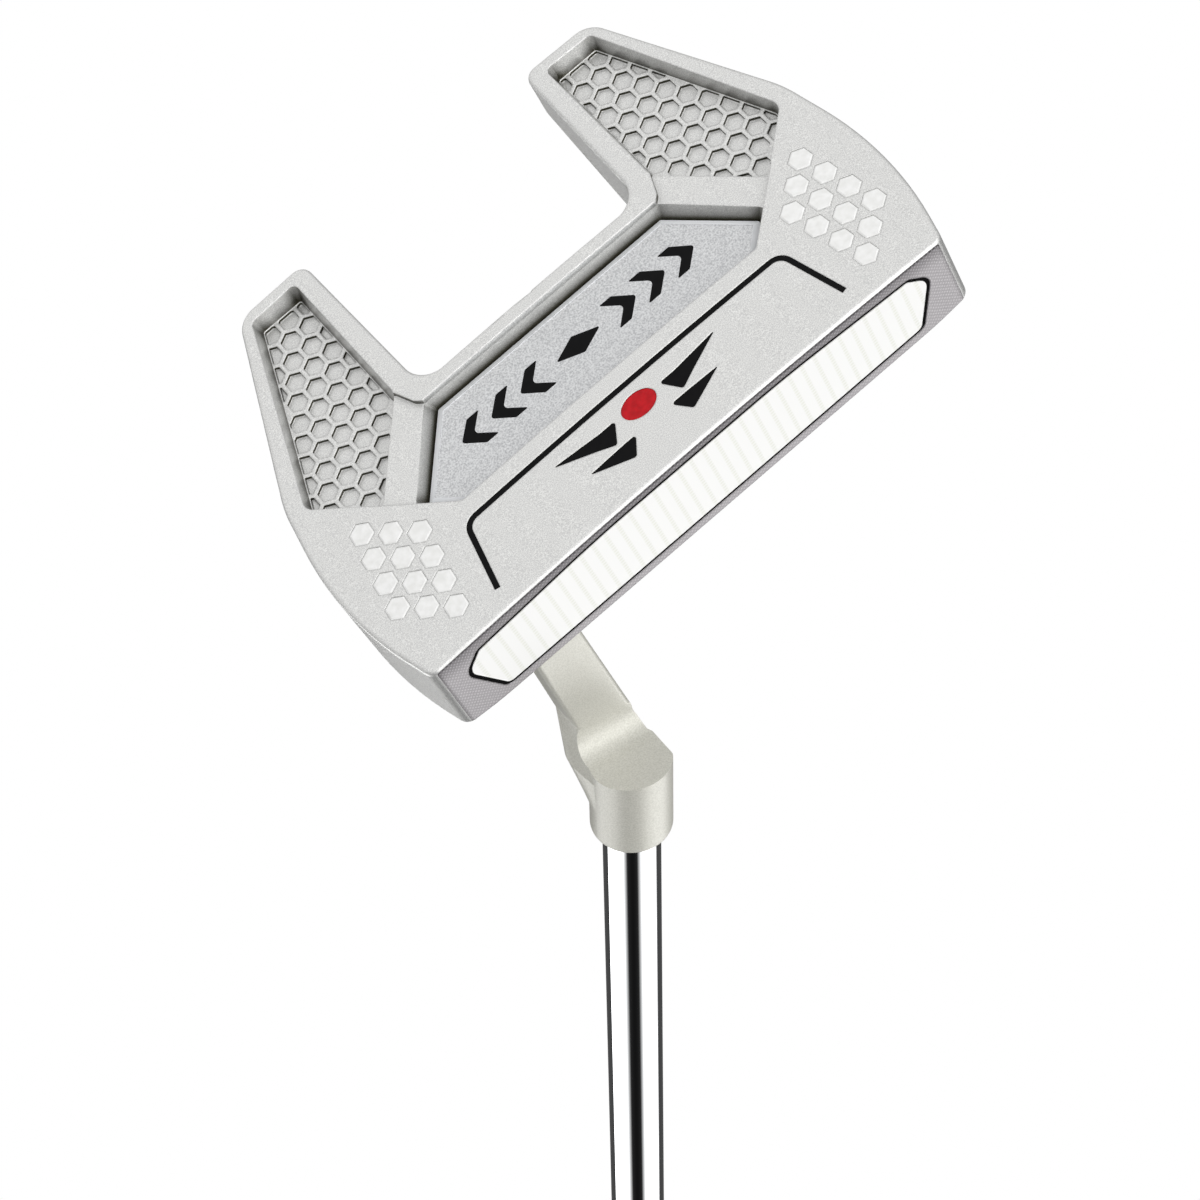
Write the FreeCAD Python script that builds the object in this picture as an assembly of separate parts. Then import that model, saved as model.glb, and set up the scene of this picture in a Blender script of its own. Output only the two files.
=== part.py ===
import FreeCAD, Part
import math
import os

from FreeCAD import Vector

# A mallet putter, in millimetres, as it stands at address: +Z up, the face towards -Y, the heel and
# the shaft towards +X.  The head is drawn from its leading edge back, and every piece is moved
# forward by ORIGIN_BACK when it is written, so that the origin lies on the flat of the sole.

# Head
ORIGIN_BACK = 18.0       # the origin's distance behind the leading edge
HEAD_HEIGHT = 21.5       # sole to topline
FACE_LOFT = 3.0          # degrees the face leans back
SOLE_RADIUS = 790.0      # camber of the sole towards heel and toe
SOLE_FLAT_CUT = 0.02     # taken off the lowest line, which leaves a flat to stand on
HEAD_TOP = HEAD_HEIGHT - SOLE_FLAT_CUT
SOLE_EDGE = 0.8          # rounding round the sole
CROWN_EDGE = 0.6         # rounding round the crown
FRONT_EDGE = 2.0         # rounding of the upright edges beside the face
CROWN_FLAT_HALF = 44.0   # half width of the crown's flat top
CROWN_SIDE_DROP = 2.0    # height lost beyond it, over CROWN_SIDE_RUN
CROWN_SIDE_RUN = 14.0
CROWN_SOFT = 40.0        # radius of the crown's soft crests
FRONT_HALF = 49.9        # half width at the leading edge
BULGE_HALF = 54.6        # half width where the two side curves would meet
BULGE_BACK = 18.5
SHOULDER_HALF = 50.2     # half width where the wings begin
SHOULDER_BACK = 40.0
TIP_OUTER_HALF = 35.9    # wing tips
TIP_INNER_HALF = 22.6
TIP_BACK = 72.3
NOTCH_HALF = 21.8        # gap between the wings
NOTCH_BACK = 40.4
CROWN_BREAK = 32.5       # where the crown starts to fall to the back
CROWN_FALL = 0.30        # height lost per millimetre behind it

# Wing pockets and the rib beside them
POCKET_FLOOR = 3.9       # height of the pocket floor over the lowest sole
POCKET_DRAFT = 0.75      # how far the floor stands in from the rim
RIB_DROP = 0.9           # rib top below the sole
RIB_WIDTH = 3.55         # from the recess to the pocket, measured along X
RIB_LAP = 1.65           # how far the rib's cut runs on over the pocket
RIB_END = (1.0, 0.9)     # where its low top ends, past the recess's rear corner
CELL_KEEP = 0.12         # a cell cut down to less of its volume than this is left out
CELL_PITCH = 3.76        # honeycomb
CELL_WIDTH = 3.02
CELL_DEPTH = 0.55
CELL_X = 28.05           # one cell's middle
CELL_Y = 45.35
CELL_MARGIN = 0.2        # land left between the cells and the pocket's walls
FRONT_LINE = ((29.1, 19.6), (47.9, 37.3))   # one straight line fronts recess, rib and pocket
POCKET_IN_HALF = 25.7
POCKET_TIP_HALF = 34.7
POCKET_TIP_BACK = 70.2
POCKET_NEAR_IN_BACK = 42.6

# Middle recess and its badge plate
RECESS_FLOOR = 4.0
RECESS_SIDE = (34.9, 25.05)      # the corner where the rib's inner side meets FRONT_LINE
RECESS_REAR = (23.35, 37.9)
RECESS_WALL_TOP = 1.4            # height at which the sloped walls start
BADGE_GAP = 0.1
BADGE_THICK = 1.0
BADGE_BEVEL = 0.9        # width of the bevel round the badge
BADGE_EDGE = 0.5         # plate thickness left at the bevel's foot
BADGE_FRONT = (28.6, 20.3)
BADGE_SIDE = (33.0, 24.7)
BADGE_REAR = (22.3, 36.75)
BADGE_FIELD_SUNK = 0.1   # step inside the bevel
TAPE_THICK = 0.1
ORNAMENT_DEPTH = 0.3
ORNAMENT_BACK = 29.0
ORNAMENT_TALL = 5.6
LOZENGE_HALF_LONG = 4.4
LOZENGE_HALF_TALL = 1.9
ARROW_FIRST = 9.0        # the first arrow's distance from the middle
ARROW_PITCH = 5.8
ARROW_COUNT = 3
ARROW_TAIL = 2.8         # from the arrow's middle to the ends of its arms
ARROW_ARM = 2.4          # length of the arms' square ends
ARROW_POINT = 2.6
BADGE_RIM = 0.12         # flat crest left between the bevel and the sunk field
BADGE_TOP = RECESS_FLOOR - TAPE_THICK            # the face that is stuck down
BADGE_CREST = BADGE_TOP - BADGE_THICK
BADGE_FIELD = BADGE_CREST + BADGE_FIELD_SUNK

# Line, emblem and inlays let into the sole
LINE_WIDTH = 0.95
LINE_DEPTH = 0.55
LINE_HALF = 30.95
LINE_BACK = 16.1
LINE_END_HALF = 33.95
LINE_END_BACK = 3.9
LINE_CORNER = 2.4
FILL_SUNK = 0.08
EMBLEM_DEPTH = 0.5
BLADES = (               # distance back, root, tip, the tip's sweep and the thickness of each blade
    (10.6, 4.9, 16.0, 2.6, 3.5),
    (6.6, 4.0, 12.6, 1.4, 3.1),
)
DISC_HALF_WIDE = 3.1
DISC_HALF_DEEP = 2.15
DISC_BACK = 11.85
INLAY_WIDTH = 3.62       # across flats
INLAY_DEPTH = 0.9
INLAY_PROUD = 0.1
INLAY_BEVEL = 0.28
INLAY_TURN = 7.0         # degrees, turned with their rows
INLAY_FIRST = (43.65, 27.1)
INLAY_ROW = (1.1, -4.66)
INLAY_STEP = (-3.38, -3.3)
INLAY_ROWS = 4
INLAY_STEPS = 3

# Face insert
INSERT_TOP = 19.3
INSERT_BOTTOM = 1.7
INSERT_TOP_HALF = 41.6
INSERT_WIDE_HALF = 45.9
INSERT_WIDE_UP = 8.0
INSERT_LOW_HALF = 42.3
INSERT_LOW_UP = 4.1
INSERT_DEPTH = 2.2
BEZEL_WIDTH = 0.7
BEZEL_SUNK = 0.12

# Neck and hosel
LIE = 69.5               # degrees from the ground to the shaft
SHAFT_X = 15.31          # where the shaft's line meets the ground
SHAFT_Y = -4.98
HOSEL_OUT = 13.3
HOSEL_START = 52.6       # along the shaft, from the ground
HOSEL_END = 70.0
HOSEL_EDGE = 0.6
BAR_FRONT = 1.7          # the upright bar's sides, where it stands on the crown
BAR_BACK = 8.3
BAR_TOE = 27.8
BAR_HEEL = 36.6
BAR_TOP = 60.0           # and its heel and toe sides at this height
BAR_TOP_TOE = 28.4
BAR_TOP_HEEL = 38.2
BAR_EDGE = 0.8
SCOOP_RADIUS = 4.2
SCOOP_DISH = 15.0        # radius of the dish beyond the scoop
BLEND_START = 49.5       # along the shaft, where the bar is cut off square to it
BLEND_END = 63.5         # and where the swelling has run out into the round hosel
BLEND_INSIDE = 0.05      # how far the swelling's end lies under the hosel's skin
SWELL_AT = 56.0          # where the swelling is widest, and how far back it reaches there
SWELL_BACK = 12.3
SWELL_HEEL = 1.4         # how far its back stands out past the hosel towards the heel
SWELL_SOFT = 0.1         # how much less than half its width its back corners' radius is
SWELL_IN = 0.7           # its front corners lie this far in, so that the hosel hides them
EASE_IN = 5.0            # the toe side's width left below the hosel's mouth
EASE_RISE = 2.6          # height over which it widens to the full round
SPIGOT_OUT = 4.4         # the peg that holds the neck in the head
SPIGOT_LONG = 11.0
SPIGOT_IN = 2.2          # its middle's distance from the bar's back
BOND = 0.1               # adhesive thickness

# Shaft
SHAFT_TIP = 9.4
SHAFT_BUTT = 14.9
SHAFT_WALL = 0.55
SHAFT_START = 55.6
SHAFT_PARALLEL = 232.0   # end of the parallel tip
STEP_COUNT = 10
STEP_PITCH = 36.0
STEP_TAPER = 3.0
CLUB_LENGTH = 863.6      # 34 inches, ground to the end of the grip
PLUG_LONG = 12.0

# Grip
GRIP_LONG = 267.0
GRIP_TAPE = 0.3
GRIP_TAPE_SHORT = 3.0    # how far inside the grip's mouth the tape starts
GRIP_MOUTH = 9.9         # radius at the lower end
GRIP_BELLY = 13.2
GRIP_HEEL = 12.2         # radius at the top
GRIP_FLAT = 9.6          # distance of the thumb flat from the axis
CAP_THICK = 4.0
CAP_RADIUS = 8.0
CAP_SEAT = 1.5           # depth of the cap's seat in the grip
CAP_SUNK = 0.2
CAP_VENT = 2.2
GRIP_STATIONS = (        # share of the grip's length, radius, thumb flat's and middle's distance
    (0.0, GRIP_MOUTH, GRIP_FLAT - 0.5, 0.0),
    (0.22, GRIP_MOUTH + 0.9, GRIP_FLAT - 0.2, 0.3),
    (0.45, GRIP_BELLY - 1.3, GRIP_FLAT, 0.9),
    (0.64, GRIP_BELLY, GRIP_FLAT + 0.2, 1.6),
    (0.84, GRIP_HEEL, GRIP_FLAT + 0.2, 1.0),
    (1.0, GRIP_HEEL + 0.9, GRIP_FLAT + 0.2, 1.5),
)

# Sight line on the crown
CROWN_LINE_START = 2.2
CROWN_LINE_WIDTH = 1.6
CROWN_LINE_LONG = 30.0
CROWN_LINE_DEPTH = 0.4

FAR = 200.0              # reach of the cutting blocks


def polar(angle, radius, centre=(0.0, 0.0)):
    """A point at an angle in degrees round a centre."""
    turn = math.radians(angle)
    return (centre[0] + radius * math.cos(turn), centre[1] + radius * math.sin(turn))


def mirrored(corners):
    """A closed outline from its heel half, listed front to back."""
    return list(corners) + [(-c[0],) + tuple(c[1:]) for c in reversed(corners)]


def loop(corners, height=0.0):
    """A closed wire whose corners (x, y, radius) are rounded by tangent arcs."""
    count = len(corners)
    cuts = []
    for i in range(count):
        here = Vector(corners[i][0], corners[i][1], height)
        before = Vector(corners[i - 1][0], corners[i - 1][1], height)
        after = Vector(corners[(i + 1) % count][0], corners[(i + 1) % count][1], height)
        radius = corners[i][2] if len(corners[i]) > 2 else 0.0
        if radius <= 0.0:
            cuts.append((here, here, here))
            continue
        back = (before - here).normalize()
        ahead = (after - here).normalize()
        half = back.getAngle(ahead) / 2.0
        reach = radius / math.tan(half)
        middle = here + (back + ahead).normalize() * (radius / math.sin(half) - radius)
        cuts.append((here + back * reach, middle, here + ahead * reach))
    edges = []
    for i in range(count):
        start, middle, end = cuts[i]
        if (end - start).Length > 1e-6:
            edges.append(Part.Arc(start, middle, end).toShape())
        following = cuts[(i + 1) % count][0]
        if (following - end).Length > 1e-6:
            edges.append(Part.LineSegment(end, following).toShape())
    return Part.Wire(edges)


def inset(corners, distance):
    """The same outline moved inwards; corners run anticlockwise."""
    moved = []
    count = len(corners)
    for i in range(count):
        here = Vector(corners[i][0], corners[i][1], 0)
        along_in = (here - Vector(corners[i - 1][0], corners[i - 1][1], 0)).normalize()
        nxt = corners[(i + 1) % count]
        along_out = (Vector(nxt[0], nxt[1], 0) - here).normalize()
        in_side = Vector(-along_in.y, along_in.x, 0)
        out_side = Vector(-along_out.y, along_out.x, 0)
        shift = (in_side + out_side) * (distance / (1.0 + in_side.dot(out_side)))
        radius = corners[i][2] if len(corners[i]) > 2 else 0.0
        turn = along_in.x * along_out.y - along_in.y * along_out.x
        radius = max(radius - distance, 0.15) if turn > 0 else radius + distance
        moved.append((here.x + shift.x, here.y + shift.y, radius))
    return moved


def prism(corners, low, high):
    """An upright prism over an outline."""
    return Part.Face(loop(corners, low)).extrude(Vector(0, 0, high - low))


def tapered(outer, inner, low, high):
    """A solid between an outline at one height and another at the next."""
    return Part.makeLoft([loop(outer, low), loop(inner, high)], True, True)


def hexagon(x, y, width, turn=0.0):
    """Corners of a hexagon, width across flats, a corner towards the back when unturned."""
    return [polar(30.0 + turn + 60.0 * k, width / math.sqrt(3.0), (x, y)) for k in range(6)]


def sole_height(x):
    """Height of the cambered sole at a distance from the middle."""
    return SOLE_RADIUS - math.sqrt(SOLE_RADIUS ** 2 - x ** 2)


def sole_layer(low, high):
    """A sheet that follows the sole between two depths."""
    reach = 70.0
    rise = sole_height(reach)
    edges = []
    for lift in (low, high):
        ends = [Vector(s * reach, 0, lift + rise) for s in (-1, 1)]
        edges.append(Part.Arc(ends[0], Vector(0, 0, lift), ends[1]).toShape())
    for s in (-1, 1):
        edges.append(Part.LineSegment(Vector(s * reach, 0, low + rise),
                                      Vector(s * reach, 0, high + rise)).toShape())
    face = Part.Face(Part.Wire(Part.sortEdges(edges)[0]))
    return face.extrude(Vector(0, FAR, 0)).translated(Vector(0, -FAR / 2.0, 0))


def stroke(points, radius, width):
    """Outline of a line of constant width along points, its inner corners rounded."""
    half = width / 2.0
    sides = ([], [])
    for i, point in enumerate(points):
        here = Vector(point[0], point[1], 0)
        normals = []
        for a, b in ((i - 1, i), (i, i + 1)):
            if a >= 0 and b < len(points):
                run = Vector(points[b][0] - points[a][0], points[b][1] - points[a][1], 0)
                run.normalize()
                normals.append(Vector(-run.y, run.x, 0))
        shift = normals[0] * half
        turn = 0.0
        if len(normals) == 2:
            shift = (normals[0] + normals[1]) * (half / (1.0 + normals[0].dot(normals[1])))
            turn = normals[0].x * normals[1].y - normals[0].y * normals[1].x
        for side, sign in zip(sides, (1, -1)):
            bend = 0.0
            if turn:
                bend = radius - half if sign * turn > 0 else radius + half
            side.append((here.x + sign * shift.x, here.y + sign * shift.y, bend))
    return sides[1] + list(reversed(sides[0]))


def in_face(shape):
    """Stand a solid drawn flat, with +Z out of the face, against the lofted face."""
    turned = shape.copy()
    turned.rotate(Vector(0, 0, 0), Vector(1, 0, 0), 90.0 - FACE_LOFT)
    return turned


def on_shaft(shape):
    """Put a solid drawn along +Z from the ground onto the shaft's line."""
    turned = shape.copy()
    turned.rotate(Vector(0, 0, 0), Vector(0, 1, 0), 90.0 - LIE)
    turned.translate(Vector(SHAFT_X, SHAFT_Y, 0))
    return turned


def rod(radius, start, end):
    """A cylinder along the shaft."""
    return Part.makeCylinder(radius, end - start, Vector(0, 0, start))


def tube(outer, inner, start, end):
    """A round tube along the shaft."""
    return rod(outer, start, end).cut(rod(inner, start - 1.0, end + 1.0))


def head_outline():
    """The head from below or above; its front is left long for the face to trim."""
    slope = (BULGE_HALF - FRONT_HALF) / BULGE_BACK
    spare = 4.0
    return mirrored([
        (FRONT_HALF - spare * slope, -spare, 0.0),
        (BULGE_HALF, BULGE_BACK, 60.0),
        (SHOULDER_HALF, SHOULDER_BACK, 22.0),
        (TIP_OUTER_HALF, TIP_BACK, 4.2),
        (TIP_INNER_HALF, TIP_BACK, 2.2),
        (NOTCH_HALF, NOTCH_BACK, 4.5),
    ])


def crown_across():
    """Everything under the crown, as seen from the front."""
    far_drop = CROWN_SIDE_DROP * (FAR - CROWN_FLAT_HALF) / CROWN_SIDE_RUN
    corners = mirrored([
        (FAR, -FAR, 0.0),
        (FAR, HEAD_HEIGHT - far_drop, 0.0),
        (CROWN_FLAT_HALF, HEAD_HEIGHT, CROWN_SOFT),
    ])
    section = Part.Face(loop(corners)).extrude(Vector(0, 0, FAR))
    section.rotate(Vector(0, 0, 0), Vector(1, 0, 0), 90.0)
    return section.translated(Vector(0, FAR / 2.0, 0))


def crown_along():
    """Everything under the crown, as seen from the side: it falls to the back."""
    far_drop = CROWN_FALL * (FAR - CROWN_BREAK)
    corners = [
        (-FAR, -FAR, 0.0),
        (FAR, -FAR, 0.0),
        (FAR, HEAD_HEIGHT - far_drop, 0.0),
        (CROWN_BREAK, HEAD_HEIGHT, CROWN_SOFT),
        (-FAR, HEAD_HEIGHT, 0.0),
    ]
    section = Part.Face(loop(corners)).extrude(Vector(0, 0, FAR))
    section.rotate(Vector(0, 0, 0), Vector(1, 1, 1), 120.0)
    return section.translated(Vector(-FAR / 2.0, 0, 0))


def face_block():
    """Everything in front of the face."""
    block = Part.makeBox(FAR, FAR, FAR, Vector(-FAR / 2.0, -FAR, -FAR / 2.0))
    block.rotate(Vector(0, 0, 0), Vector(1, 0, 0), -FACE_LOFT)
    return block


def rim_edges(body):
    """The edges between the head's walls and its sole."""
    edges = []
    for edge in body.Edges:
        box = edge.BoundBox
        if box.ZMax < POCKET_FLOOR and box.ZLength < max(box.XLength, box.YLength):
            edges.append(edge)
    return edges


def crest_edges(body):
    """The edges between the head's walls and its crown."""
    edges = []
    for edge in body.Edges:
        if edge.BoundBox.ZMin < POCKET_FLOOR:
            continue
        middle = edge.valueAt((edge.FirstParameter + edge.LastParameter) / 2.0)
        rises = []
        for face in body.ancestorsOfType(edge, Part.Face):
            spot = face.Surface.parameter(middle)
            rises.append(abs(face.normalAt(*spot).z))
        if len(rises) == 2 and min(rises) < 0.3 and max(rises) > 0.6:
            edges.append(edge)
    return edges


def head_blank():
    """The head's outer form, with its rims rounded."""
    body = prism(head_outline(), -5.0, HEAD_HEIGHT + 5.0)
    body = body.common(crown_across()).common(crown_along())
    body = body.cut(face_block()).cut(sole_layer(-20.0, 0.0))
    body = body.removeSplitter().Solids[0]
    upright = [e for e in body.Edges if e.BoundBox.ZLength > HEAD_HEIGHT / 2.0
               and e.BoundBox.YMax < HEAD_HEIGHT / 4.0]
    body = body.makeFillet(FRONT_EDGE, upright)
    body = body.makeFillet(SOLE_EDGE, rim_edges(body))
    body = body.makeFillet(CROWN_EDGE, crest_edges(body))
    below = Part.makeBox(FAR, FAR, FAR, Vector(-FAR / 2.0, -FAR / 2.0, SOLE_FLAT_CUT - FAR))
    return body.cut(below).translated(Vector(0, 0, -SOLE_FLAT_CUT))


def front_line(x):
    """The depth of the shared front line at a half width."""
    (x0, y0), (x1, y1) = FRONT_LINE
    return y0 + (x - x0) * (y1 - y0) / (x1 - x0)


def both_sides(shape):
    """A heel-side solid with its mirror image at the toe."""
    return [shape, shape.mirror(Vector(0, 0, 0), Vector(1, 0, 0))]


def pocket_rim():
    """The heel wing's pocket at the sole, anticlockwise."""
    near = RECESS_SIDE[0] + RIB_WIDTH
    return [
        (near, front_line(near), 0.9),
        (FRONT_LINE[1][0], FRONT_LINE[1][1], 2.2),
        (POCKET_TIP_HALF, POCKET_TIP_BACK, 1.3),
        (POCKET_IN_HALF, POCKET_TIP_BACK, 1.2),
        (POCKET_IN_HALF, POCKET_NEAR_IN_BACK, 1.2),
    ]


def wing_pocket():
    """The space of the heel wing's pocket, with its honeycomb of cells."""
    rim = pocket_rim()
    floor = inset(rim, POCKET_DRAFT)
    lip = sole_height((POCKET_IN_HALF + POCKET_TIP_HALF) / 2.0)
    space = prism(rim, -2.0, lip).fuse(tapered(rim, floor, lip, POCKET_FLOOR))
    land = prism(inset(floor, CELL_MARGIN), POCKET_FLOOR - 0.05, POCKET_FLOOR + CELL_DEPTH)
    cells = []
    rise = CELL_PITCH * math.sqrt(3.0) / 2.0
    xs = [c[0] for c in rim]
    ys = [c[1] for c in rim]
    first = int((min(ys) - CELL_Y) / rise) - 2
    last = int((max(ys) - CELL_Y) / rise) + 2
    for row in range(first, last + 1):
        y = CELL_Y + row * rise
        start = CELL_X + (row % 2) * CELL_PITCH / 2.0
        low = int((min(xs) - start) / CELL_PITCH) - 2
        high = int((max(xs) - start) / CELL_PITCH) + 2
        for step in range(low, high + 1):
            x = start + step * CELL_PITCH
            cell = prism(hexagon(x, y, CELL_WIDTH), POCKET_FLOOR - 0.05, POCKET_FLOOR + CELL_DEPTH)
            piece = cell.common(land)
            if piece.Volume > CELL_KEEP * cell.Volume:
                cells.append(piece)
    return [space] + cells


def rib_space():
    """What is taken off the sole to leave the heel-side rib lower than it."""
    near = RECESS_SIDE[0] - 1.2
    far = RECESS_SIDE[0] + RIB_WIDTH + RIB_LAP
    outline = [
        (near, front_line(near), 0.0),
        (far, front_line(far), 0.0),
        (POCKET_IN_HALF + 2.4, POCKET_NEAR_IN_BACK + 1.9, 0.0),
        (POCKET_IN_HALF, POCKET_NEAR_IN_BACK - 0.3, 0.0),
        (RECESS_REAR[0] + RIB_END[0], RECESS_REAR[1] + RIB_END[1], 1.5),
        (RECESS_REAR[0] - 0.8, RECESS_REAR[1] - 0.8, 0.0),
    ]
    return prism(outline, -2.0, POCKET_FLOOR).common(sole_layer(-3.0, RIB_DROP))


def badge_outline():
    return mirrored([BADGE_FRONT + (0.5,), BADGE_SIDE + (0.5,), BADGE_REAR + (0.5,)])


def recess_space():
    """The space of the middle recess, its walls sloping in to the badge."""
    rim = mirrored([FRONT_LINE[0] + (1.2,), RECESS_SIDE + (0.9,), RECESS_REAR + (0.9,)])
    floor = inset(badge_outline(), -BADGE_GAP)
    sloped = tapered(rim, floor, RECESS_WALL_TOP, RECESS_FLOOR)
    return prism(rim, -2.0, RECESS_WALL_TOP).fuse(sloped)


def ornament_outlines():
    """A lozenge with arrows pointing away from it on both sides."""
    outlines = [[(LOZENGE_HALF_LONG, ORNAMENT_BACK, 0.2),
                 (0.0, ORNAMENT_BACK + LOZENGE_HALF_TALL, 0.6),
                 (-LOZENGE_HALF_LONG, ORNAMENT_BACK, 0.2),
                 (0.0, ORNAMENT_BACK - LOZENGE_HALF_TALL, 0.6)]]
    low = ORNAMENT_BACK - ORNAMENT_TALL / 2.0
    high = ORNAMENT_BACK + ORNAMENT_TALL / 2.0
    for k in range(ARROW_COUNT):
        x = ARROW_FIRST + k * ARROW_PITCH
        tail = x - ARROW_TAIL
        arm = tail + ARROW_ARM
        arrow = [(tail, low, 0.15), (arm, low, 0.5), (x + ARROW_POINT, ORNAMENT_BACK, 0.5),
                 (arm, high, 0.5), (tail, high, 0.15), (x + 0.1, ORNAMENT_BACK, 0.7)]
        outlines.append(arrow)
        outlines.append([(-c[0], c[1], c[2]) for c in reversed(arrow)])
    return outlines


def badge_plate():
    outline = badge_outline()
    crest = inset(outline, BADGE_BEVEL)
    slope = tapered(crest, outline, BADGE_CREST, BADGE_TOP - BADGE_EDGE)
    plate = slope.fuse(prism(outline, BADGE_TOP - BADGE_EDGE, BADGE_TOP)).removeSplitter()
    field = prism(inset(outline, BADGE_BEVEL + BADGE_RIM), BADGE_CREST - 1.0, BADGE_FIELD)
    plate = plate.cut(field)
    for shape in ornament_outlines():
        plate = plate.cut(prism(shape, BADGE_CREST - 1.0, BADGE_FIELD + ORNAMENT_DEPTH))
    return plate


def badge_ornament():
    top = BADGE_FIELD + ORNAMENT_DEPTH
    low = BADGE_FIELD + FILL_SUNK / 2.0
    return Part.makeCompound([prism(shape, low, top) for shape in ornament_outlines()])


def badge_tape():
    return prism(inset(badge_outline(), 0.4), BADGE_TOP, RECESS_FLOOR)


def sole_line():
    """Outline of the line let into the sole."""
    return stroke([(-LINE_END_HALF, LINE_END_BACK), (-LINE_HALF, LINE_BACK),
                   (LINE_HALF, LINE_BACK), (LINE_END_HALF, LINE_END_BACK)], LINE_CORNER, LINE_WIDTH)


def emblem_blades():
    """Two swept blades on each side of the disc."""
    blades = []
    for back, root, tip, sweep, thick in BLADES:
        front = back - thick / 2.0
        rear = back + thick / 2.0
        heel = [(root + 1.6, front, 0.5), (root + 4.6, back - 0.3, 3.0), (tip, back + sweep, 0.1),
                (root + 2.4, rear, 3.0), (root - 0.6, rear, 0.4)]
        blades.append(heel)
        blades.append([(-c[0], c[1], c[2]) for c in reversed(heel)])
    return blades


def disc(low, high):
    """The red disc, wider than deep."""
    curve = Part.Ellipse(Vector(0, DISC_BACK, low), DISC_HALF_WIDE, DISC_HALF_DEEP)
    face = Part.Face(Part.Wire(curve.toShape()))
    return face.extrude(Vector(0, 0, high - low))


def let_in(shape, depth):
    """The part of an upright prism that a recess of some depth in the sole takes."""
    return shape.common(sole_layer(-1.5, depth))


def filling(shape, depth):
    """The paint in such a recess."""
    return shape.common(sole_layer(FILL_SUNK, depth))


def inlay_places():
    """Middles of the heel side's inlays."""
    places = []
    for row in range(INLAY_ROWS):
        for step in range(INLAY_STEPS):
            places.append((INLAY_FIRST[0] + row * INLAY_ROW[0] + step * INLAY_STEP[0],
                           INLAY_FIRST[1] + row * INLAY_ROW[1] + step * INLAY_STEP[1]))
    return places


def on_sole(shape, x, y):
    """Lay a solid drawn at the origin on the sole at a place, square to its camber."""
    laid = shape.copy()
    laid.rotate(Vector(0, 0, 0), Vector(0, 1, 0), -math.degrees(math.asin(x / SOLE_RADIUS)))
    laid.translate(Vector(x, y, sole_height(x)))
    return laid


def inlay_space():
    bore = prism(hexagon(0, 0, INLAY_WIDTH, INLAY_TURN), -2.0, INLAY_DEPTH)
    return [on_sole(bore, x, y) for x, y in inlay_places()]


def inlays():
    """The heel side's inlays: hexagonal tiles with a bevelled edge."""
    full = hexagon(0, 0, INLAY_WIDTH, INLAY_TURN)
    face = hexagon(0, 0, INLAY_WIDTH - 2.0 * INLAY_BEVEL, INLAY_TURN)
    shoulder = -INLAY_PROUD + INLAY_BEVEL / 2.0
    tile = tapered(face, full, -INLAY_PROUD, shoulder).fuse(prism(full, shoulder, INLAY_DEPTH))
    tile = tile.removeSplitter()
    return [on_sole(tile, x, y) for x, y in inlay_places()]


def insert_outline():
    """The insert's cavity as seen on the face, x and the distance up it."""
    low = (INSERT_LOW_UP - INSERT_BOTTOM) * 18.0 / INSERT_LOW_HALF
    return mirrored([
        (18.0, INSERT_BOTTOM + low * 0.12, 150.0),
        (INSERT_LOW_HALF, INSERT_LOW_UP, 1.6),
        (INSERT_WIDE_HALF, INSERT_WIDE_UP, 3.6),
        (INSERT_TOP_HALF, INSERT_TOP, 2.0),
    ])


def insert_cavity():
    return in_face(prism(insert_outline(), -INSERT_DEPTH, 5.0))


def insert_bezel():
    ring = prism(insert_outline(), -INSERT_DEPTH, -BEZEL_SUNK)
    hole = prism(inset(insert_outline(), BEZEL_WIDTH), -INSERT_DEPTH - 1.0, 1.0)
    return in_face(ring.cut(hole))


def face_insert():
    return in_face(prism(inset(insert_outline(), BEZEL_WIDTH), TAPE_THICK - INSERT_DEPTH, 0.0))


def insert_tape():
    return in_face(prism(inset(insert_outline(), BEZEL_WIDTH), -INSERT_DEPTH, TAPE_THICK - INSERT_DEPTH))


def spigot_place():
    return ((BAR_TOE + BAR_HEEL) / 2.0, BAR_BACK - SPIGOT_IN)


def spigot(radius):
    x, y = spigot_place()
    return Part.makeCylinder(radius, SPIGOT_LONG, Vector(x, y, HEAD_TOP - SPIGOT_LONG))


def neck_bar():
    """The upright bar that the hosel stands on, cut off square to the shaft."""
    sections = []
    for toe, heel, height in ((BAR_TOE, BAR_HEEL, HEAD_TOP), (BAR_TOP_TOE, BAR_TOP_HEEL, BAR_TOP)):
        corners = [(toe, BAR_FRONT), (heel, BAR_FRONT), (heel, BAR_BACK), (toe, BAR_BACK)]
        sections.append(loop([c + (BAR_EDGE,) for c in corners], height))
    bar = Part.makeLoft(sections, True, True)
    above = Part.makeBox(80, 80, 60, Vector(-40, -40, BLEND_START))
    return bar.cut(on_shaft(above))


def neck_blend(bar):
    """The swelling from the bar's cut end into the round hosel."""
    cut_end = max(bar.Faces, key=lambda face: face.CenterOfMass.z)
    half = HOSEL_OUT / 2.0 - BLEND_INSIDE
    soft = half - SWELL_SOFT
    near = half - SWELL_IN
    tight = soft - 1.1
    swell = loop([(near, -near, tight), (half + SWELL_HEEL, SWELL_BACK, soft),
                  (-half, SWELL_BACK, soft), (-near, -near, tight)], SWELL_AT)
    circle = Part.Wire(Part.makeCircle(half, Vector(0, 0, BLEND_END)))
    lower = Part.makeLoft([cut_end.OuterWire, on_shaft(swell)], True, True)
    upper = Part.makeLoft([on_shaft(swell), on_shaft(circle)], True, True)
    return lower.fuse(upper)


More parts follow.
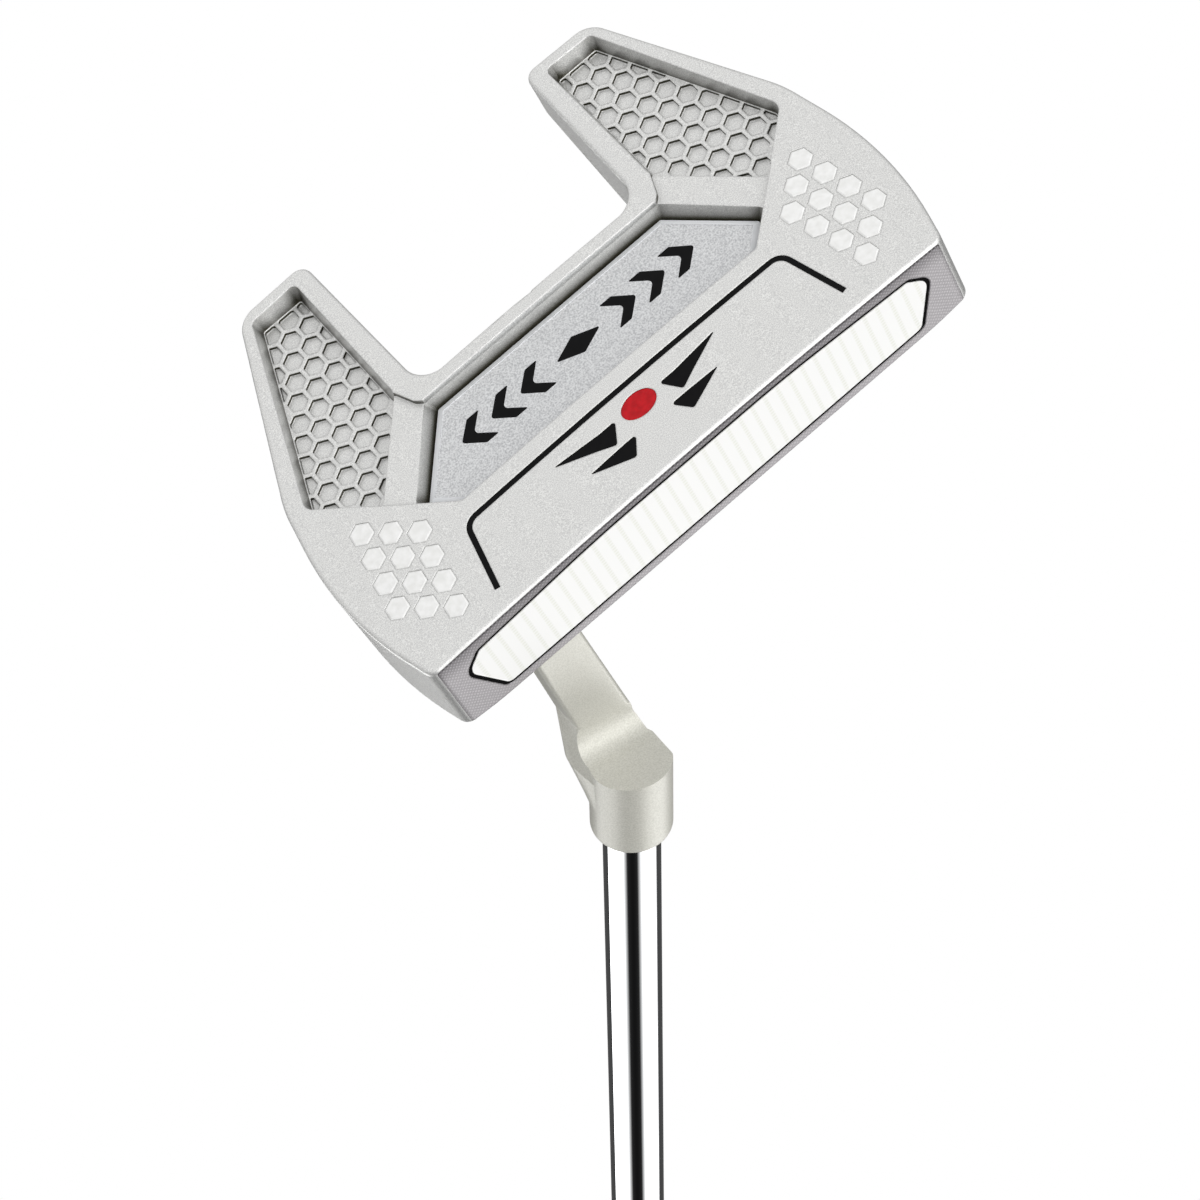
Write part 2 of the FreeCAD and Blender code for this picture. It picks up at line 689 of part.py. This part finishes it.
def scoop():
    """The hollow under the hosel, in front of the bar; drawn along the shaft."""
    front = BAR_FRONT - SHAFT_Y
    corners = [
        (-40.0, 20.0, 0.0),
        (front, 20.0, 0.0),
        (front, HOSEL_START + 1.6, SCOOP_RADIUS),
        (-0.5, HOSEL_START + 1.2, SCOOP_DISH),
        (-HOSEL_OUT, HOSEL_START - 1.4, 0.0),
        (-40.0, HOSEL_START - 1.4, 0.0),
    ]
    space = Part.Face(loop(corners)).extrude(Vector(0, 0, 60.0)).translated(Vector(0, 0, -30.0))
    space.rotate(Vector(0, 0, 0), Vector(1, 1, 1), 120.0)
    return space


def toe_ease():
    """What is taken off the hosel's toe side so that it runs straight down into the bar."""
    outer = HOSEL_OUT / 2.0
    corners = [
        (-20.0, BLEND_START - 5.0, 0.0),
        (-EASE_IN, BLEND_START - 5.0, 0.0),
        (-EASE_IN, HOSEL_START - 1.0, 0.0),
        (-outer - 0.05, HOSEL_START + EASE_RISE, 6.0),
        (-outer - 0.05, HOSEL_START + EASE_RISE + 4.0, 0.0),
        (-20.0, HOSEL_START + EASE_RISE + 4.0, 0.0),
    ]
    space = Part.Face(loop(corners)).extrude(Vector(0, 0, 30.0))
    space.rotate(Vector(0, 0, 0), Vector(1, 0, 0), 90.0)
    return space.translated(Vector(0, BAR_FRONT - SHAFT_Y, 0))


def hosel_neck():
    bore = SHAFT_TIP / 2.0 + BOND
    barrel = rod(HOSEL_OUT / 2.0, BLEND_START, HOSEL_END)
    ends = [e for e in barrel.Edges if abs(e.BoundBox.ZMin - HOSEL_END) < 0.01 and e.Length > 1.0]
    barrel = barrel.makeFillet(HOSEL_EDGE, ends[:1])
    bar = neck_bar()
    hollow = [on_shaft(scoop()), on_shaft(toe_ease())]
    neck = bar.fuse([neck_blend(bar).cut(hollow), on_shaft(barrel).cut(hollow)]).removeSplitter()
    neck = neck.cut(on_shaft(rod(bore, SHAFT_START - BOND, HOSEL_END + 5.0)))
    return neck.fuse(spigot(SPIGOT_OUT / 2.0))


def neck_bond():
    return spigot(SPIGOT_OUT / 2.0 + BOND).cut(spigot(SPIGOT_OUT / 2.0))


def sight_line():
    """Outline of the painted line on the crown."""
    half = CROWN_LINE_WIDTH / 2.0
    return [(half, CROWN_LINE_START, 0.3), (half, CROWN_LINE_START + CROWN_LINE_LONG, 0.3),
            (-half, CROWN_LINE_START + CROWN_LINE_LONG, 0.3), (-half, CROWN_LINE_START, 0.3)]


def crown_sight_line():
    return prism(sight_line(), HEAD_TOP - CROWN_LINE_DEPTH, HEAD_TOP - FILL_SUNK / 2.0)


def head_body():
    body = head_blank()
    spaces = []
    for shape in wing_pocket():
        spaces += both_sides(shape)
    spaces += both_sides(rib_space())
    spaces.append(recess_space())
    spaces.append(let_in(prism(sole_line(), -2.0, 5.0), LINE_DEPTH))
    spaces += [let_in(prism(blade, -2.0, 5.0), EMBLEM_DEPTH) for blade in emblem_blades()]
    spaces.append(let_in(disc(-2.0, 5.0), EMBLEM_DEPTH))
    for shape in inlay_space():
        spaces += both_sides(shape)
    spaces.append(insert_cavity())
    spaces.append(spigot(SPIGOT_OUT / 2.0 + BOND))
    spaces.append(prism(sight_line(), HEAD_TOP - CROWN_LINE_DEPTH, HEAD_TOP + 1.0))
    return body.cut(spaces)


def shaft_profile(shrink):
    """Half section of the stepped shaft, radius and distance along it."""
    gain = (SHAFT_BUTT - SHAFT_TIP) / 2.0 / STEP_COUNT
    radius = SHAFT_TIP / 2.0 - shrink
    points = [(radius, SHAFT_START)]
    for step in range(STEP_COUNT):
        start = SHAFT_PARALLEL + step * STEP_PITCH
        points.append((radius, start))
        radius += gain
        points.append((radius, start + STEP_TAPER))
    points.append((radius, CLUB_LENGTH - CAP_THICK))
    return points


def shaft_tube():
    outside = shaft_profile(0.0)
    inside = shaft_profile(SHAFT_WALL)
    corners = [Vector(r, 0, s) for r, s in outside + list(reversed(inside))]
    section = Part.Face(Part.makePolygon(corners + corners[:1]))
    return on_shaft(section.revolve(Vector(0, 0, 0), Vector(0, 0, 1), 360.0))


def shaft_bond():
    inner = SHAFT_TIP / 2.0
    sleeve = tube(inner + BOND, inner, SHAFT_START, HOSEL_END - 0.3)
    return on_shaft(sleeve.fuse(rod(inner + BOND, SHAFT_START - BOND, SHAFT_START)))


def tip_plug():
    return on_shaft(rod(SHAFT_TIP / 2.0 - SHAFT_WALL, SHAFT_START + 2.0, SHAFT_START + 2.0 + PLUG_LONG))


def grip_section(radius, flat, shift, height):
    """A circle with a thumb flat, shifted towards the hands' palms."""
    reach = math.acos((flat + shift) / radius)
    angles = (math.pi - reach, 0.0, -(math.pi - reach))
    points = [Vector(shift + radius * math.cos(a), radius * math.sin(a), height) for a in angles]
    arc = Part.Arc(points[2], points[1], points[0]).toShape()
    return Part.Wire([arc, Part.LineSegment(points[0], points[2]).toShape()])


def grip_sleeve():
    start = CLUB_LENGTH - GRIP_LONG
    sections = []
    for share, radius, flat, shift in GRIP_STATIONS:
        sections.append(grip_section(radius, flat, shift, start + share * GRIP_LONG))
    skin = Part.makeLoft(sections, True, False)
    bore = rod(SHAFT_BUTT / 2.0 + GRIP_TAPE, start - 1.0, CLUB_LENGTH - CAP_THICK)
    seat = rod(CAP_RADIUS, CLUB_LENGTH - CAP_SEAT, CLUB_LENGTH + 1.0)
    vent = rod(CAP_VENT / 2.0, CLUB_LENGTH - CAP_THICK - 1.0, CLUB_LENGTH + 1.0)
    return on_shaft(skin.cut([bore, seat, vent]))


def grip_end_cap():
    return on_shaft(tube(CAP_RADIUS, CAP_VENT / 2.0, CLUB_LENGTH - CAP_SEAT, CLUB_LENGTH - CAP_SUNK))


def grip_tape():
    inner = SHAFT_BUTT / 2.0
    start = CLUB_LENGTH - GRIP_LONG + GRIP_TAPE_SHORT
    return on_shaft(tube(inner + GRIP_TAPE, inner, start, CLUB_LENGTH - CAP_THICK))


def pieces():
    """Every piece by its node's name."""
    tiles = inlays()
    blades = [filling(prism(blade, -2.0, 5.0), EMBLEM_DEPTH) for blade in emblem_blades()]
    mirror = (Vector(0, 0, 0), Vector(1, 0, 0))
    return {
        "head_body": head_body(),
        "hosel_neck": hosel_neck(),
        "neck_bond": neck_bond(),
        "face_insert": face_insert(),
        "insert_bezel": insert_bezel(),
        "insert_tape": insert_tape(),
        "badge_plate": badge_plate(),
        "badge_tape": badge_tape(),
        "badge_ornament": badge_ornament(),
        "sole_line_fill": filling(prism(sole_line(), -2.0, 5.0), LINE_DEPTH),
        "emblem_blades": Part.makeCompound(blades),
        "emblem_disc": filling(disc(-2.0, 5.0), EMBLEM_DEPTH),
        "heel_inlays": Part.makeCompound(tiles),
        "toe_inlays": Part.makeCompound([t.mirror(*mirror) for t in tiles]),
        "crown_sight_line": crown_sight_line(),
        "shaft_tube": shaft_tube(),
        "shaft_bond": shaft_bond(),
        "tip_plug": tip_plug(),
        "grip_sleeve": grip_sleeve(),
        "grip_tape": grip_tape(),
        "grip_end_cap": grip_end_cap(),
    }


os.makedirs("parts", exist_ok=True)
for name, shape in pieces().items():
    shape = shape.translated(Vector(0, -ORIGIN_BACK, 0))
    shape.exportStep("parts/" + name + ".step")
    print(name, len(shape.Solids), shape.isValid(), round(shape.Volume, 2))
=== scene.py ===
import math

import bpy
from mathutils import Matrix, Vector

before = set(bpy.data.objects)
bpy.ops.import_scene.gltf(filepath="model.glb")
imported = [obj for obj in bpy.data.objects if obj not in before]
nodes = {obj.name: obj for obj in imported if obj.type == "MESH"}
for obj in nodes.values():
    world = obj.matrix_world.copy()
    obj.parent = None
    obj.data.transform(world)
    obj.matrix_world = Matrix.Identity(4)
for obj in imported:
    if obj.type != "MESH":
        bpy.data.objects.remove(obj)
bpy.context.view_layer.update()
MM = 0.001

# The club's own sizes, as in the CAD, in millimetres.
EDGE_Y = -18.0              # the leading edge
LOFT = math.radians(3.0)
LIE = math.radians(69.5)
SHAFT_FOOT = Vector((15.31, EDGE_Y - 4.98, 0.0)) * MM   # where the shaft's line meets the ground

# Sizes of the patterns, in millimetres.
FLECK = 0.16                # metal flake in the silver coat
CLOUD = 2.5                 # its faint mottling
SHADE_REACH = 3.0                # reach of the painted shade in hollows
EDGE_WEAR = 0.45            # softness of the head's edges
MILL_PITCH = 0.6            # cutter marks on the face
MILL_TURN = 38.0            # degrees between them and the ground
RIB_PITCH = 2.4             # the insert's faint ribs, and the ticks along each
TICK_PITCH = 0.8

# The camera, and the lights' directions as the object sees them.
EYE = Vector((59.9, -359.8, -554.9)) * MM
RIGHT = Vector((-0.75681, -0.58119, 0.29909))
DOWN = Vector((0.65128, -0.63173, 0.42041))
AHEAD = Vector((-0.05539, 0.51297, 0.85662))
SENSOR = 36.0
FOCAL = 4437.9 / 1200.0     # focal length over the picture's width
FROM_BELOW = Vector((-0.15, 0.45, -0.88))
FROM_FRONT = Vector((-0.35, -0.82, -0.45))
FROM_BACK = Vector((0.42, 0.86, 0.29))
LIGHT_POWER = 2.6
SHAFT_SEEN = 0.12           # metres up the shaft, the middle of what the camera sees of it
FLOOR_DEPTH = 3.0
FLOOR_SIZE = 40.0


# ------------------------------------------------------------------ helpers

def linear(colour):
    """An sRGB hex colour as linear RGBA."""
    parts = [int(colour[i:i + 2], 16) / 255.0 for i in (1, 3, 5)]
    return [c / 12.92 if c <= 0.04045 else ((c + 0.055) / 1.055) ** 2.4 for c in parts] + [1.0]


def node(tree, kind, props=None, **inputs):
    """Add a node: props are its settings, inputs its sockets' values or what feeds them."""
    made = tree.nodes.new(kind)
    for key, value in (props or {}).items():
        if key == "stops":
            while len(made.color_ramp.elements) < len(value):
                made.color_ramp.elements.new(0.5)
            for element, (spot, colour) in zip(made.color_ramp.elements, value):
                element.position = spot
                element.color = linear(colour)
        else:
            setattr(made, key, value)
    for key, value in inputs.items():
        socket = made.inputs[int(key[1:]) if key[1:].isdigit() else key.replace("_", " ")]
        if isinstance(value, bpy.types.NodeSocket):
            tree.links.new(value, socket)
        else:
            socket.default_value = value
    return made


def material(name, **sockets):
    """A named material with these shader values, its tree, its shader and Object coordinates."""
    mat = bpy.data.materials.new(name)
    mat.use_nodes = True
    tree = mat.node_tree
    shader = tree.nodes["Principled BSDF"]
    for key, value in sockets.items():
        shader.inputs[key.replace("_", " ")].default_value = value
    spot = node(tree, "ShaderNodeTexCoord").outputs["Object"]
    return mat, tree, shader, spot


def per_metre(size_mm):
    """The scale that gives a texture's grains this size."""
    return 1.0 / (size_mm * MM)


def wear(mat, *names):
    """Give CAD nodes a material."""
    for name in names:
        mesh = nodes[name].data
        mesh.materials.clear()
        mesh.materials.append(mat)


# ---------------------------------------------------------------- materials

def silver_coat():
    """Satin silver coat over aluminium: metal flake under a thin lacquer, so it is bright with a
    fine sparkle.  The face's flat is bare and cross-milled, and the hollows' walls carry painted
    shade."""
    mat, tree, shader, spot = material("satin_silver_coat", Metallic=0.72, Roughness=0.42)
    fleck = node(tree, "ShaderNodeTexNoise", Vector=spot, Scale=per_metre(FLECK), Detail=0.0)
    cloud = node(tree, "ShaderNodeTexNoise", Vector=spot, Scale=per_metre(CLOUD), Detail=2.0)
    mixed = node(tree, "ShaderNodeMath", {"operation": "MULTIPLY_ADD"},
                 _0=cloud.outputs["Fac"], _1=0.08, _2=fleck.outputs["Fac"])
    coat = node(tree, "ShaderNodeValToRGB",
                {"stops": [(0.34, "#D3D3D2"), (0.60, "#E6E6E4"), (0.84, "#F8F8F6")]},
                Fac=mixed.outputs[0])
    # painted shade: ambient occlusion darkens walls in hollows towards olive-brown; level faces
    # keep the coat colour
    shade = node(tree, "ShaderNodeAmbientOcclusion", {"samples": 12}, Distance=SHADE_REACH * MM)
    normal = node(tree, "ShaderNodeNewGeometry").outputs["True Normal"]
    upright = node(tree, "ShaderNodeSeparateXYZ", Vector=normal)
    tilt = node(tree, "ShaderNodeMath", {"operation": "ABSOLUTE"}, _0=upright.outputs["Z"])
    open_out = node(tree, "ShaderNodeMapRange", Value=shade.outputs["AO"], _1=0.62, _2=1.0)
    level = node(tree, "ShaderNodeMapRange", Value=tilt.outputs[0], _1=0.9, _2=0.985)
    unshaded = node(tree, "ShaderNodeMath", {"operation": "MAXIMUM"},
                 _0=open_out.outputs[0], _1=level.outputs[0])
    # painted shade colour mixed in where the walls are occluded
    coat = node(tree, "ShaderNodeMix", {"data_type": "RGBA"}, _0=unshaded.outputs[0],
                _6=linear("#3A382C"), _7=coat.outputs["Color"])
    # the face is what lies in front of a plane that leans back by the loft
    parts = node(tree, "ShaderNodeSeparateXYZ", Vector=spot)
    lean = node(tree, "ShaderNodeMath", {"operation": "MULTIPLY_ADD"},
                _0=parts.outputs["Z"], _1=-math.tan(LOFT), _2=parts.outputs["Y"])
    on_face = node(tree, "ShaderNodeMath", {"operation": "LESS_THAN"},
                   _0=lean.outputs[0], _1=(EDGE_Y + 0.12) * MM)
    marks = []
    for turn in (MILL_TURN, -MILL_TURN):
        turned = node(tree, "ShaderNodeMapping", {"vector_type": "POINT"}, Vector=spot,
                      Rotation=(0.0, math.radians(turn), 0.0))
        marks.append(node(tree, "ShaderNodeTexWave", {"bands_direction": "X"},
                          Vector=turned.outputs[0], Scale=per_metre(MILL_PITCH) * math.pi / 10.0,
                          Distortion=1.2, Detail=1.0))
    both = node(tree, "ShaderNodeMath", {"operation": "MULTIPLY"},
                _0=marks[0].outputs["Fac"], _1=marks[1].outputs["Fac"])
    # the milled face is darker near its bottom edge and paler higher up
    height = node(tree, "ShaderNodeMapRange", {"interpolation_type": "SMOOTHSTEP"},
                  Value=parts.outputs["Z"], _1=1.0 * MM, _2=7.0 * MM)
    dark_mill = node(tree, "ShaderNodeValToRGB", {"stops": [(0.1, "#5C595B"), (0.8, "#838083")]},
                     Fac=both.outputs[0])
    pale_mill = node(tree, "ShaderNodeValToRGB", {"stops": [(0.1, "#8A8789"), (0.8, "#A5A2A4")]},
                     Fac=both.outputs[0])
    milled = node(tree, "ShaderNodeMix", {"data_type": "RGBA"}, _0=height.outputs[0],
                  _6=dark_mill.outputs["Color"], _7=pale_mill.outputs["Color"])
    colour = node(tree, "ShaderNodeMix", {"data_type": "RGBA"}, _0=on_face.outputs[0],
                  _6=coat.outputs[2], _7=milled.outputs[2])
    tree.links.new(colour.outputs[2], shader.inputs["Base Color"])
    rough = node(tree, "ShaderNodeMapRange", Value=fleck.outputs["Fac"], _3=0.36, _4=0.5)
    tree.links.new(rough.outputs[0], shader.inputs["Roughness"])
    relief = node(tree, "ShaderNodeMix", {"data_type": "FLOAT"}, _0=on_face.outputs[0],
                  _2=fleck.outputs["Fac"], _3=both.outputs[0])
    eased = node(tree, "ShaderNodeBevel", {"samples": 6}, Radius=EDGE_WEAR * MM)
    bumped = node(tree, "ShaderNodeBump", Height=relief.outputs[0], Strength=0.25,
                  Distance=0.05 * MM, Normal=eased.outputs[0])
    tree.links.new(bumped.outputs[0], shader.inputs["Normal"])
    return mat


def blasted_steel():
    """Bead-blasted steel with a satin coat: warm grey, even, with a fine pebbled grain."""
    mat, tree, shader, spot = material("blasted_steel", Metallic=0.12, Roughness=0.38)
    grain = node(tree, "ShaderNodeTexNoise", Vector=spot, Scale=per_metre(0.25), Detail=2.0)
    colour = node(tree, "ShaderNodeValToRGB", {"stops": [(0.35, "#C6C5BB"), (0.65, "#D8D7CE")]},
                  Fac=grain.outputs["Fac"])
    tree.links.new(colour.outputs["Color"], shader.inputs["Base Color"])
    bumped = node(tree, "ShaderNodeBump", Height=grain.outputs["Fac"], Strength=0.3,
                  Distance=0.04 * MM)
    tree.links.new(bumped.outputs[0], shader.inputs["Normal"])
    return mat


def insert_urethane():
    """Moulded white urethane: smooth and slightly waxy, with faint upright ribs of fine ticks."""
    mat, tree, shader, spot = material("insert_urethane", Roughness=0.32, IOR=1.4)
    parts = node(tree, "ShaderNodeSeparateXYZ", Vector=spot)
    rib = node(tree, "ShaderNodeMath", {"operation": "PINGPONG"},
               _0=parts.outputs["X"], _1=RIB_PITCH / 2.0 * MM)
    tick = node(tree, "ShaderNodeMath", {"operation": "PINGPONG"},
                _0=parts.outputs["Z"], _1=TICK_PITCH / 2.0 * MM)
    soft_rib = node(tree, "ShaderNodeMapRange", {"interpolation_type": "SMOOTHSTEP"},
                    Value=rib.outputs[0], _1=RIB_PITCH * 0.22 * MM, _2=RIB_PITCH * 0.06 * MM)
    soft_tick = node(tree, "ShaderNodeMapRange", {"interpolation_type": "SMOOTHSTEP"},
                     Value=tick.outputs[0], _1=TICK_PITCH * 0.4 * MM, _2=TICK_PITCH * 0.15 * MM,
                     _3=0.25, _4=1.0)
    mark = node(tree, "ShaderNodeMath", {"operation": "MULTIPLY"}, _0=soft_rib.outputs[0],
                _1=soft_tick.outputs[0])
    colour = node(tree, "ShaderNodeMix", {"data_type": "RGBA"}, _0=mark.outputs[0],
                  _6=linear("#F6F6F4"), _7=linear("#E9EAE2"))
    tree.links.new(colour.outputs[2], shader.inputs["Base Color"])
    bumped = node(tree, "ShaderNodeBump", {"invert": True}, Height=mark.outputs[0], Strength=0.2,
                  Distance=0.05 * MM)
    tree.links.new(bumped.outputs[0], shader.inputs["Normal"])
    return mat


def speckled_plate():
    """Cast alloy plate, silver with dark specks on its sunk field; its bevel and sides are painted
    near-white as a painted highlight.
    """
    mat, tree, shader, spot = material("speckled_plate", Metallic=0.75, Roughness=0.36)
    speck = node(tree, "ShaderNodeTexNoise", Vector=spot, Scale=per_metre(0.28), Detail=2.0,
                 Roughness=0.6)
    field = node(tree, "ShaderNodeValToRGB",
                 {"stops": [(0.36, "#BDBEC0"), (0.5, "#D6D7D8"), (0.66, "#E8E9EA")]},
                 Fac=speck.outputs["Fac"])
    # painted highlight: every face but the level field is painted near-white and made less metallic
    normal = node(tree, "ShaderNodeNewGeometry")
    upright = node(tree, "ShaderNodeSeparateXYZ", Vector=normal.outputs["True Normal"])
    flat = node(tree, "ShaderNodeMath", {"operation": "LESS_THAN"},
                _0=upright.outputs["Z"], _1=-0.97)
    colour = node(tree, "ShaderNodeMix", {"data_type": "RGBA"}, _0=flat.outputs[0],
                  _6=linear("#FAFCFF"), _7=field.outputs["Color"])
    tree.links.new(colour.outputs[2], shader.inputs["Base Color"])
    metal = node(tree, "ShaderNodeMapRange", Value=flat.outputs[0], _3=0.15, _4=0.75)
    tree.links.new(metal.outputs[0], shader.inputs["Metallic"])
    bumped = node(tree, "ShaderNodeBump", Height=speck.outputs["Fac"], Strength=0.35,
                  Distance=0.05 * MM)
    tree.links.new(bumped.outputs[0], shader.inputs["Normal"])
    return mat


def enamel(name, colour, dark, rough=0.16, ior=1.5):
    """Poured enamel: deep colour under a glassy skin with a little orange peel."""
    mat, tree, shader, spot = material(name, Roughness=rough, IOR=ior)
    peel = node(tree, "ShaderNodeTexNoise", Vector=spot, Scale=per_metre(1.1), Detail=1.0)
    tone = node(tree, "ShaderNodeValToRGB", {"stops": [(0.3, dark), (0.7, colour)]},
                Fac=peel.outputs["Fac"])
    tree.links.new(tone.outputs["Color"], shader.inputs["Base Color"])
    bumped = node(tree, "ShaderNodeBump", Height=peel.outputs["Fac"], Strength=0.2,
                  Distance=0.05 * MM)
    tree.links.new(bumped.outputs[0], shader.inputs["Normal"])
    return mat


def mirror_chrome():
    """Plated steel: a mirror, faintly softened by polishing haze."""
    mat, tree, shader, spot = material("mirror_chrome", Metallic=1.0, Base_Color=linear("#F2F3F4"))
    haze = node(tree, "ShaderNodeTexNoise", Vector=spot, Scale=per_metre(6.0), Detail=3.0)
    rough = node(tree, "ShaderNodeMapRange", Value=haze.outputs["Fac"], _3=0.03, _4=0.09)
    tree.links.new(rough.outputs[0], shader.inputs["Roughness"])
    return mat


def moulded(name, colour, dark, rough, grain_mm, depth_mm):
    """Moulded rubber, film or plastic: matt, with the mould's fine grain."""
    mat, tree, shader, spot = material(name, Roughness=rough, IOR=1.5)
    grain = node(tree, "ShaderNodeTexNoise", Vector=spot, Scale=per_metre(grain_mm), Detail=3.0)
    tone = node(tree, "ShaderNodeValToRGB", {"stops": [(0.35, dark), (0.65, colour)]},
                Fac=grain.outputs["Fac"])
    tree.links.new(tone.outputs["Color"], shader.inputs["Base Color"])
    bumped = node(tree, "ShaderNodeBump", Height=grain.outputs["Fac"], Strength=0.5,
                  Distance=depth_mm * MM)
    tree.links.new(bumped.outputs[0], shader.inputs["Normal"])
    return mat


black_enamel = enamel("black_enamel", "#060607", "#020203", 0.12, 1.22)
wear(silver_coat(), "head_body")
wear(blasted_steel(), "hosel_neck")
wear(insert_urethane(), "face_insert")
wear(moulded("bonding_film", "#D8D5CB", "#C6C2B5", 0.6, 0.5, 0.02), "insert_tape", "badge_tape")
wear(speckled_plate(), "badge_plate")
wear(black_enamel, "badge_ornament", "sole_line_fill", "emblem_blades")
wear(enamel("black_bezel_paint", "#050506", "#020202", 0.6, 1.08), "insert_bezel")
wear(enamel("red_enamel", "#C4101C", "#AC0A16", 0.12, 1.3), "emblem_disc")
wear(enamel("white_resin", "#F3F3F2", "#E8E8E6", 0.22), "heel_inlays", "toe_inlays")
wear(moulded("line_paint", "#161618", "#0D0D0F", 0.55, 0.4, 0.02), "crown_sight_line")
wear(mirror_chrome(), "shaft_tube")
wear(moulded("epoxy", "#8C8878", "#7A7668", 0.5, 0.6, 0.02), "neck_bond", "shaft_bond")
wear(moulded("plug_nylon", "#3C3C3C", "#303030", 0.5, 0.6, 0.02), "tip_plug")
wear(moulded("grip_rubber", "#1B1B1C", "#121213", 0.75, 0.5, 0.12), "grip_sleeve", "grip_end_cap")
wear(moulded("paper_tape", "#D3C9AC", "#C2B796", 0.8, 0.8, 0.05), "grip_tape")


# --------------------------------------------------------- stage and camera

def lay_floor():
    """A pale floor, far enough down for the camera to look up from; light comes up past it."""
    paint = material("floor_paint", Roughness=0.9, Base_Color=linear("#F4F4F2"),
                     Emission_Color=linear("#F4F4F2"), Emission_Strength=0.32)[0]
    half = FLOOR_SIZE / 2.0
    mesh = bpy.data.meshes.new("floor")
    mesh.from_pydata([(-half, -half, -FLOOR_DEPTH), (half, -half, -FLOOR_DEPTH),
                      (half, half, -FLOOR_DEPTH), (-half, half, -FLOOR_DEPTH)], [], [(0, 1, 2, 3)])
    mesh.materials.append(paint)
    floor = bpy.data.objects.new("floor", mesh)
    bpy.context.scene.collection.objects.link(floor)
    floor.visible_glossy = floor.visible_diffuse = floor.visible_shadow = False


def studio_world():
    """A white sweep behind, and softboxes all round it: bright low down and in front, with a dark
    gap between two upright boxes, which draws the black stripe and edges on the chrome."""
    world = bpy.data.worlds.new("studio")
    bpy.context.scene.world = world
    world.use_nodes = True
    tree = world.node_tree
    back = tree.nodes["Background"]
    spot = node(tree, "ShaderNodeTexCoord").outputs["Generated"]
    axis = Vector((math.cos(LIE), 0.0, math.sin(LIE)))
    to_eye = (EYE - (SHAFT_FOOT + axis * SHAFT_SEEN)).normalized()
    side = (to_eye - axis * to_eye.dot(axis)).normalized()
    along, across, below, before, behind = [
        node(tree, "ShaderNodeVectorMath", {"operation": "DOT_PRODUCT"},
             _0=spot, _1=line).outputs["Value"]
        for line in (axis, side, FROM_BELOW, FROM_FRONT, FROM_BACK)]
    # the direction's turn round the shaft, seen from the side that faces the camera
    square = node(tree, "ShaderNodeMath", {"operation": "MULTIPLY"}, _0=along, _1=along)
    rest = node(tree, "ShaderNodeMath", {"operation": "SUBTRACT", "use_clamp": True},
                _0=1.0, _1=square.outputs[0])
    root = node(tree, "ShaderNodeMath", {"operation": "SQRT"}, _0=rest.outputs[0])
    turn = node(tree, "ShaderNodeMath", {"operation": "DIVIDE"}, _0=across, _1=root.outputs[0])
    place = node(tree, "ShaderNodeMapRange", Value=turn.outputs[0], _1=-1.0, _2=1.0)
    boxes = node(tree, "ShaderNodeValToRGB", {"stops": [
        (0.0, "#303030"), (0.30, "#282828"), (0.40, "#FFFFFF"), (0.84, "#FFFFFF"),
        (0.97, "#161616"), (1.0, "#0A0A0A")]}, Fac=place.outputs[0])
    ring = node(tree, "ShaderNodeValToRGB", {"stops": [
        (0.0, "#5A5A5A"), (0.56, "#5A5A5A"), (0.66, "#FFFFFF"), (0.88, "#FFFFFF"),
        (0.94, "#404040"), (1.0, "#202020")]}, Fac=along)
    boxes = node(tree, "ShaderNodeMix", {"data_type": "RGBA", "blend_type": "MULTIPLY"}, _0=1.0,
                 _6=boxes.outputs["Color"], _7=ring.outputs["Color"])
    # lower boxes: below, in front and behind
    low = node(tree, "ShaderNodeMapRange", {"interpolation_type": "SMOOTHSTEP"}, Value=below,
               _1=-0.3, _2=1.0, _3=0.07, _4=0.34)
    near = node(tree, "ShaderNodeMapRange", {"interpolation_type": "SMOOTHSTEP"}, Value=before,
                _1=0.72, _2=1.0, _3=0.0, _4=1.0)
    far = node(tree, "ShaderNodeMapRange", {"interpolation_type": "SMOOTHSTEP"}, Value=behind,
               _1=0.6, _2=0.95, _3=0.0, _4=0.15)
    both = node(tree, "ShaderNodeMath", {"operation": "ADD"}, _0=low.outputs[0], _1=near.outputs[0])
    lower = node(tree, "ShaderNodeMath", {"operation": "ADD"},
                 _0=both.outputs[0], _1=far.outputs[0])
    upper = node(tree, "ShaderNodeMapRange", {"interpolation_type": "SMOOTHSTEP"}, Value=along,
                 _1=0.25, _2=0.5)
    light = node(tree, "ShaderNodeMix", {"data_type": "RGBA"}, _0=upper.outputs[0],
                 _6=lower.outputs[0], _7=boxes.outputs[2])
    # the camera itself sees plain white
    path = node(tree, "ShaderNodeLightPath")
    shown = node(tree, "ShaderNodeMix", {"data_type": "RGBA"}, _0=path.outputs["Is Camera Ray"],
                 _6=light.outputs[2], _7=(1.0, 1.0, 1.0, 1.0))
    power = node(tree, "ShaderNodeMapRange", Value=path.outputs["Is Camera Ray"],
                 _3=LIGHT_POWER, _4=1.0)
    tree.links.new(shown.outputs[2], back.inputs["Color"])
    tree.links.new(power.outputs[0], back.inputs["Strength"])


def place_camera():
    """The camera, looking up at the sole from in front."""
    data = bpy.data.cameras.new("camera")
    data.sensor_width = SENSOR
    data.lens = FOCAL * SENSOR
    data.clip_start = 0.01
    data.clip_end = 100.0
    camera = bpy.data.objects.new("camera", data)
    bpy.context.scene.collection.objects.link(camera)
    columns = Matrix((RIGHT, -DOWN, -AHEAD)).transposed()
    camera.matrix_world = Matrix.Translation(EYE) @ columns.to_4x4()
    bpy.context.scene.camera = camera


bpy.context.scene.view_settings.view_transform = "Standard"
lay_floor()
studio_world()
place_camera()
